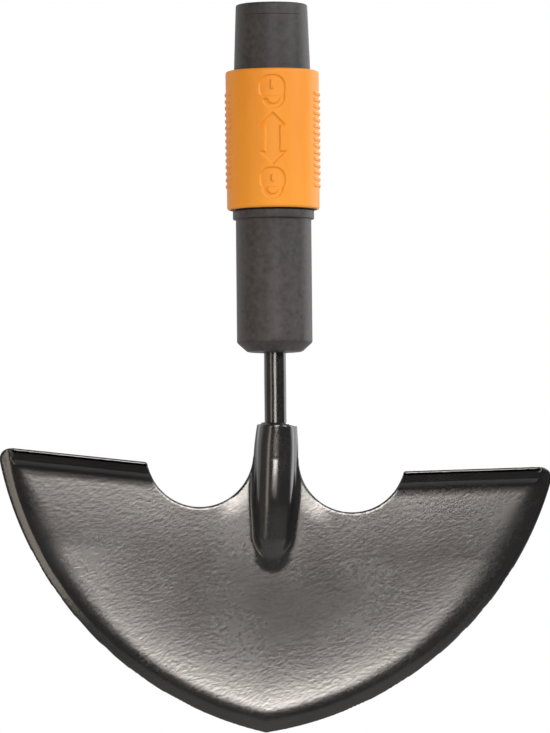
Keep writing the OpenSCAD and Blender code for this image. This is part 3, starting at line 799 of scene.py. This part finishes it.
# %% Ball holes
HOLE_R, HOLE_LIP_R, BALL_Z, DRILL_SIDES = 3.65, 2.25, -70.0, 48
tool_line = np.array([
    [AXIS_R, 9.0], [HOLE_LIP_R, 9.0], [HOLE_R, 11.4], [HOLE_R, 17.0], [AXIS_R, 17.0]])
for angle in np.radians([90, 210, 330]):
    side, up, out = np.moveaxis(spin(tool_line, around(DRILL_SIDES)), -1, 0)
    c, s = math.cos(angle), math.sin(angle)
    tool = np.stack([out * c - side * s, out * s + side * c, up + BALL_Z], -1).reshape(-1, 3) * MM
    drill = bpy.data.objects.new("drill", bpy.data.meshes.new("drill"))
    drill.data.from_pydata(tool.tolist(), [], closed_faces(len(tool_line), DRILL_SIDES))
    bpy.context.scene.collection.objects.link(drill)
    cut = body.modifiers.new("ball_hole", "BOOLEAN")
    cut.object, cut.operation, cut.solver = drill, "DIFFERENCE", "EXACT"
    after = body.evaluated_get(bpy.context.evaluated_depsgraph_get())
    drilled = bpy.data.meshes.new_from_object(after)
    body.modifiers.clear()
    body.data = drilled
    bpy.data.objects.remove(drill)
body.data.set_sharp_from_angle(angle=math.radians(30))
print("drilled body", len(body.data.vertices), "points")

# %% [markdown]
# The signs on the sleeve are sunk a little over half a millimetre by the mould: an open padlock,
# a double arrow and a closed padlock. Each is a flat distance field too, laid round the sleeve.

# %% Signs on the sleeve
def box2(x, z, x0, z0, half_w, half_h, r):
    """Oblong with rounded corners."""
    a, b = np.abs(x - x0) - half_w + r, np.abs(z - z0) - half_h + r
    return np.hypot(np.maximum(a, 0), np.maximum(b, 0)) + np.minimum(np.maximum(a, b), 0) - r


def bow(x, z, x0, z0, r, from_deg, to_deg, thick):
    """Part of a ring, from one angle to another."""
    a = np.degrees(np.arctan2(z - z0, x - x0)) % 360
    ends = []
    for d in np.radians([from_deg, to_deg]):
        ends.append(np.hypot(x - x0 - r * math.cos(d), z - z0 - r * math.sin(d)))
    on = (a >= from_deg) & (a <= to_deg)
    return np.where(on, np.abs(np.hypot(x - x0, z - z0) - r), np.minimum(*ends)) - thick / 2


def wedge(x, z, apex_z, base_z, half_w):
    """Triangle with its point up or down."""
    up = 1 if apex_z > base_z else -1
    tall = abs(apex_z - base_z)
    n = np.array([tall, half_w]) / math.hypot(tall, half_w)
    slant = np.abs(x) * n[0] + (up * (z - apex_z)) * n[1]
    return np.maximum(slant, -up * (z - base_z))


def signs(x, z):
    keyhole = box2(x, z, -0.2, -33.1, 0.66, 1.95, 0.6)
    open_lock = round_max(box2(x, z, -0.1, -34.4, 5.3, 5.1, 4.4), -z - 37.8, 0.5)
    open_lock = np.maximum(open_lock, -keyhole)
    shackle = bow(x, z, 0.5, -38.3, 3.65, 205, 360, 1.75)
    shackle = np.minimum(shackle, box2(x, z, 4.15, -38, 0.87, 1, 0.1))
    arrow = np.minimum(wedge(x, z, -44.6, -49.8, 5.2), wedge(x, z, -65.8, -60.6, 5.3))
    arrow = np.minimum(arrow, box2(x, z, 0, -55.2, 2.95, 6, 0.1))
    keyhole = box2(x, z, -0.2, -71.35, 0.66, 1.5, 0.6)
    closed_lock = round_max(box2(x, z, -0.2, -72, 5.15, 4.8, 4.2), -z - 75.1, 0.5)
    closed_lock = np.maximum(closed_lock, -keyhole)
    closed_bow = bow(x, z, -0.2, -75.6, 3.25, 180, 360, 1.7)
    for foot_x in (-3.45, 3.05):
        closed_bow = np.minimum(closed_bow, box2(x, z, foot_x, -75.4, 0.85, 0.9, 0.1))
    return np.minimum.reduce([open_lock, shackle, arrow, closed_lock, closed_bow])


print("in the middle of the arrow the field is", float(signs(0.0, -55.2)), "mm")

# %% [markdown]
# The sleeve's skin is one sheet wrapped round: a fine grid where the signs are, a coarser one
# elsewhere. Ribs at both sides rise out of it for the fingers and fade at their ends. Inside,
# the section follows the spring's chamber, the sliding land and the cone that works the balls.

# %% Locking sleeve
TOP, LOW, SLEEVE_R, SLEEVE_TAPER = -27.5, -84.5, 19.0, 0.2
SIGN_DEPTH, SIGN_DOWN, SIGN_R, SIGN_HALF = 0.6, 1.2, 19.1, 0.6
FINE_TURN, FINE_RISE, PLAIN_TURN = 0.42 * coarse, 0.17 * coarse, 1.5
RIB_RISE, RIB_PITCH, RIB_LAST, RIB_H = 9.6, 2.69, 14, 0.47
CHAMBER_R, LAND_R, RELIEF_R = 17.8, 16.05, 17.775
ends = np.array([0.06, 0.3, 0.62])
turn = np.concatenate([np.arange(-21.0, 21.01, FINE_TURN), np.arange(22.2, 338, PLAIN_TURN)])
turn = np.radians(turn)
angles = turn - math.pi / 2
heights = np.arange(LOW + 1, TOP - 0.99, FINE_RISE)
heights = np.concatenate([LOW + ends, heights, TOP - ends[::-1]])
edge = np.minimum(heights - LOW, TOP - heights)
base = SLEEVE_R + SLEEVE_TAPER * (heights - LOW) / (TOP - LOW)
base = base - 1 + np.sqrt(np.clip(1 - (1 - np.minimum(edge, 1)) ** 2, 0, 1))
outer = np.repeat(base[:, None], len(angles), 1)
x, z = SIGN_R * np.sin(turn)[None, :], heights[:, None]
near_front = np.abs((turn + math.pi) % (2 * math.pi) - math.pi) < SIGN_HALF
sunk = SIGN_DEPTH * (1 - ease(signs(x, z + SIGN_DOWN), -0.28, 0.4))
outer -= np.where(near_front[None, :], sunk, 0)
from_side = np.abs((np.degrees(turn) % 180) - 90)
fade = 1 - ease(from_side, 27.2, 29.2)
pitch = (heights - (LOW + RIB_RISE)) / RIB_PITCH
off = np.abs(pitch - np.clip(np.round(pitch), 0, RIB_LAST)) * RIB_PITCH
ribs = RIB_H * (1 - ease(off, 0.32, 1.02))
outer += ribs[:, None] * fade[None, :]
inner = section([
    (18.0, TOP, 0), (CHAMBER_R, TOP - 0.3, 0), (CHAMBER_R, -54, 0.2), (LAND_R, -54, 0.2),
    (LAND_R, -69, 0.2), (RELIEF_R, -80.5, 0.3), (RELIEF_R, LOW + 0.3, 0), (18.0, LOW, 0)])
skin_rows = np.stack([outer * np.cos(angles), outer * np.sin(angles), z + 0 * outer], -1)
rows = np.concatenate([skin_rows, spin(inner, angles)])
piece("locking_sleeve", rows.reshape(-1, 3), loop_faces(len(rows), len(angles)), orange_plastic,
      "sleeve", "locking_sleeve", 50)

# %% [markdown]
# The cap ring closes the sleeve's upper end and is moulded in the same orange.

# %% Cap ring
CAP_SIDES, CAP_R, CAP_LOW = 128, 17.75, -30
line = section([
    (LAND_R, -27.6, 0), (16.2, TOP, 0), (17.6, TOP, 0), (CAP_R, -27.65, 0), (CAP_R, CAP_LOW, 0),
    (LAND_R, CAP_LOW, 0)])
rows = spin(line, around(CAP_SIDES))
faces = [f[::-1] for f in loop_faces(len(line), CAP_SIDES)]
piece("sleeve_cap", rows.reshape(-1, 3), faces, orange_plastic, "sleeve", "sleeve_cap",
      30)

# %% [markdown]
# The return spring is round wire with one closed turn at each end, ground flat. It is swept as
# a tube along the same winding as in the construction file.

# %% Return spring
STEPS, WIRE_SIDES, OPEN_TURNS = 64, 14, 5
WIRE, CLOSED_PITCH, SPRING_R, SPRING_LEN, SPRING_FOOT = 1.3, 1.8, 16.75, 21.4, -54
turns = np.arange(0, (OPEN_TURNS + 2) * STEPS + 1) / STEPS
open_pitch = (SPRING_LEN - WIRE - 2 * CLOSED_PITCH) / OPEN_TURNS
mid = SPRING_FOOT + WIRE / 2 + CLOSED_PITCH * np.minimum(turns, 1)
mid = mid + open_pitch * np.clip(turns - 1, 0, OPEN_TURNS)
mid = mid + CLOSED_PITCH * np.maximum(turns - 1 - OPEN_TURNS, 0)
a, b = 2 * np.pi * turns[:, None], around(WIRE_SIDES)[None, :]
r = SPRING_R + WIRE / 2 * np.cos(b)
height = np.clip(mid[:, None] + WIRE / 2 * np.sin(b), -53.98, -32.62)
rows = np.stack([r * np.cos(a), r * np.sin(a), height], -1)
faces = closed_faces(len(turns), WIRE_SIDES)
spring = piece("return_spring", rows.reshape(-1, 3), faces, spring_steel, "head", "return_spring",
               60)
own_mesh(spring)

# %% [markdown]
# Ring, washer and balls are simple enough to keep the construction's own shapes. They get a
# finish, and the punched pieces a small broken edge.

# %% Steel pieces that keep their shape
BROKEN_EDGE = 0.12 * MM
for name, material, slot in (
        ("retaining_ring", spring_steel, "spring_steel"),
        ("spring_washer", spring_steel, "spring_steel"),
        ("lock_ball_1", ball_steel, "ball_steel"), ("lock_ball_2", ball_steel, "ball_steel"),
        ("lock_ball_3", ball_steel, "ball_steel")):
    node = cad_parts[name]
    node.data.materials.clear()
    node.data.materials.append(material)
    if material is spring_steel:
        broken = node.modifiers.new("broken_edge", "BEVEL")
        broken.width, broken.segments, broken.limit_method = BROKEN_EDGE, 2, "ANGLE"
    print(name, "keeps its shape, in", slot)

# %% [markdown]
# The stage is a studio: a pale floor that fades out at a distance, and a background that is white
# to the eye and dims towards the camera's side, as a dark room would. Black gloss shows nothing
# but what it reflects, so that dark side is what keeps the tool black.

# %% Floor and background
FLOOR_Z, FLOOR_SIZE, FLOOR_BACK = -0.45, 2.4, 0.4
GLOSS_LIGHT, ROOM_LIGHT, DARK_SIDE = 0.55, 0.4, 0.03
bpy.ops.mesh.primitive_plane_add(size=FLOOR_SIZE, location=(0, FLOOR_BACK, FLOOR_Z))
floor = bpy.context.object
floor.name = "floor"
paper, place, plug = finish("pale_paper", (0.82, 0.82, 0.82), 0.9)
plug("Roughness", 0.85 + 0.1 * place.noise(40))
far = place.node("ShaderNodeVectorMath", {"operation": "LENGTH"}, {0: place}, out="Value")
plug("Alpha", far.band(0.5, 1.1, 1.0, 0.0))
floor.data.materials.append(paper)

world = bpy.data.worlds.new("studio")
bpy.context.scene.world = world
world.use_nodes = True
tree = world.node_tree
background = tree.nodes["Background"]
path = tree.nodes.new("ShaderNodeLightPath")
rays = ("Is Camera Ray", "Is Glossy Ray", "Is Transmission Ray")
seen, glossy, through = (Wire(tree, path.outputs[ray]) for ray in rays)
way = Wire(tree, tree.nodes.new("ShaderNodeTexCoord").outputs["Generated"])
depth = way.node("ShaderNodeSeparateXYZ", {}, {0: way}, out=1)
bright = (glossy + through) * GLOSS_LIGHT + ROOM_LIGHT
room = depth.band(-0.05, 0.4) * bright + DARK_SIDE
tree.links.new((seen + (1.0 - seen) * room).socket, background.inputs["Strength"])
background.inputs["Color"].default_value = (1, 1, 1, 1)
print("floor", FLOOR_SIZE, "m wide and", -FLOOR_Z, "m below the socket")

# %% [markdown]
# Soft panels light the tool. Key and front model the round body; the walls and the warm strip
# draw the long lines on rod and neck; the back panel lights the far side. The small blade light
# has a narrow beam: it is the one that the flat sheet mirrors towards the camera.

# %% Lamps
def panel(name, at, to, size, watts, colour=(1, 1, 1), spread=180):
    lamp = bpy.data.lights.new(name, "AREA")
    lamp.shape, lamp.size, lamp.size_y = "RECTANGLE", size[0], size[1]
    lamp.energy, lamp.color, lamp.spread = watts, colour, math.radians(spread)
    made = bpy.data.objects.new(name, lamp)
    bpy.context.scene.collection.objects.link(made)
    made.location = at
    way = np.array(to, float) - np.array(at, float)
    flat = math.hypot(way[0], way[1])
    made.rotation_euler = (math.atan2(flat, -way[2]), 0, math.atan2(-way[0], way[1]))
    print("lamp", name, watts, "W")


panel("key", (1.2, -0.65, 0.5), (0, 0, -0.1), (0.8, 0.6), 14)
panel("front", (0.1, -1.5, 0.45), (0, 0, -0.1), (0.8, 0.5), 12.5)
panel("blade_light", (-0.01, -0.6, -0.112), (0, 0, -0.28), (0.26, 0.1), 0.164,
      (1, 0.935, 0.87), 36)
panel("right_wall", (1.0, 0.62, -0.1), (0, 0, -0.2), (0.6, 0.9), 4)
panel("back", (0.3, 1.2, 0.35), (0, 0, -0.2), (0.5, 0.4), 4)
panel("left_wall", (-1.3, -0.1, -0.1), (0, 0, -0.2), (1.6, 1.6), 2.4, (1.0, 0.95, 0.88))
panel("left_strip", (-0.78, -0.82, -0.2), (0, 0, -0.2), (0.26, 0.9), 3.4, (1.0, 0.9, 0.76))

# %% [markdown]
# The photographer stood a little below the middle of the tool, a long way off. The camera is
# set to the same angle; its field is worked out for a picture 550 wide and 733 high.

# %% Camera
DISTANCE, BELOW, ROLL = 3.0, math.radians(2.8), math.radians(-0.565)
SENSOR, PICTURE_H = 36, 0.3005
target = np.array([0.0, 0.0, -0.1488])
camera = bpy.data.objects.new("camera", bpy.data.cameras.new("camera"))
bpy.context.scene.collection.objects.link(camera)
camera.location = target + DISTANCE * np.array([0, -math.cos(BELOW), -math.sin(BELOW)])
camera.rotation_euler = (math.pi / 2 + BELOW, 0, 0)
camera.rotation_euler.rotate_axis("Z", ROLL)
camera.data.sensor_width = SENSOR
camera.data.lens = SENSOR * DISTANCE / PICTURE_H
camera.data.clip_end = 50
bpy.context.scene.camera = camera
bpy.context.scene.view_settings.view_transform = "Standard"
print("camera", DISTANCE, "m away with a lens of", round(camera.data.lens), "mm")
